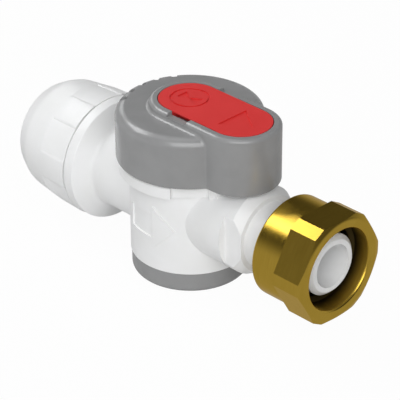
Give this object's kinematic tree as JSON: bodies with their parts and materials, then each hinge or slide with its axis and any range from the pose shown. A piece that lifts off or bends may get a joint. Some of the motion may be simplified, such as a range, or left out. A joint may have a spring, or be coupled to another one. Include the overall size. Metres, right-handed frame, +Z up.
{
  "type": "quarter-turn isolating valve",
  "caption": "In-line plastic isolating valve with a push-fit pipe socket at one end, a swivel brass union nut at the other and a grey quarter-turn lever with a red insert on top.",
  "frame": {"origin": "On the flow axis, where the parallel bore of the pipe socket begins, 0.8 mm inside its mouth.", "axes": "+X along the flow from the pipe socket to the union nut, +Z up along the stem to the lever, +Y to the left of the flow."},
  "size_m": [0.1036, 0.037, 0.0472],
  "materials": {
    "white_plastic": "smooth moulded white plastic with a soft sheen",
    "grey_plastic": "mid-grey moulded plastic, satin",
    "red_plastic": "red moulded plastic",
    "brass": "machined brass",
    "stainless_steel": "plain stainless steel",
    "black_rubber": "black rubber",
    "natural_plastic": "undyed plastic",
    "seat_plastic": "white low-friction plastic",
    "plated_ball": "polished plating"
  },
  "bodies": {
    "housing": {"valve_body": "white_plastic", "inlet_cap": "white_plastic", "grab_ring": "stainless_steel", "spacer_ring": "natural_plastic", "inlet_o_ring": "black_rubber", "inlet_seat": "seat_plastic", "outlet_seat": "seat_plastic", "stem_washer": "seat_plastic", "base_cap": "grey_plastic", "base_cap_o_ring": "black_rubber", "nut_retaining_ring": "stainless_steel", "sealing_washer": "black_rubber"},
    "lever": {"lever_knob": "grey_plastic", "knob_screw": "stainless_steel", "indicator_insert": "red_plastic", "stem": "natural_plastic", "stem_o_ring_lower": "black_rubber", "stem_o_ring_upper": "black_rubber", "ball": "plated_ball"},
    "nut": {"union_nut": "brass"}
  },
  "joints": [
    {"name": "lever_turn", "type": "hinge", "parent": "housing", "child": "lever", "pos_m": [0.0524, 0, 0], "axis": [0, 0, -1], "range_deg": [0, 90]},
    {"name": "nut_spin", "type": "hinge", "parent": "housing", "child": "nut", "pos_m": [0.0944, 0, 0], "axis": [1, 0, 0], "continuous": true}
  ]
}
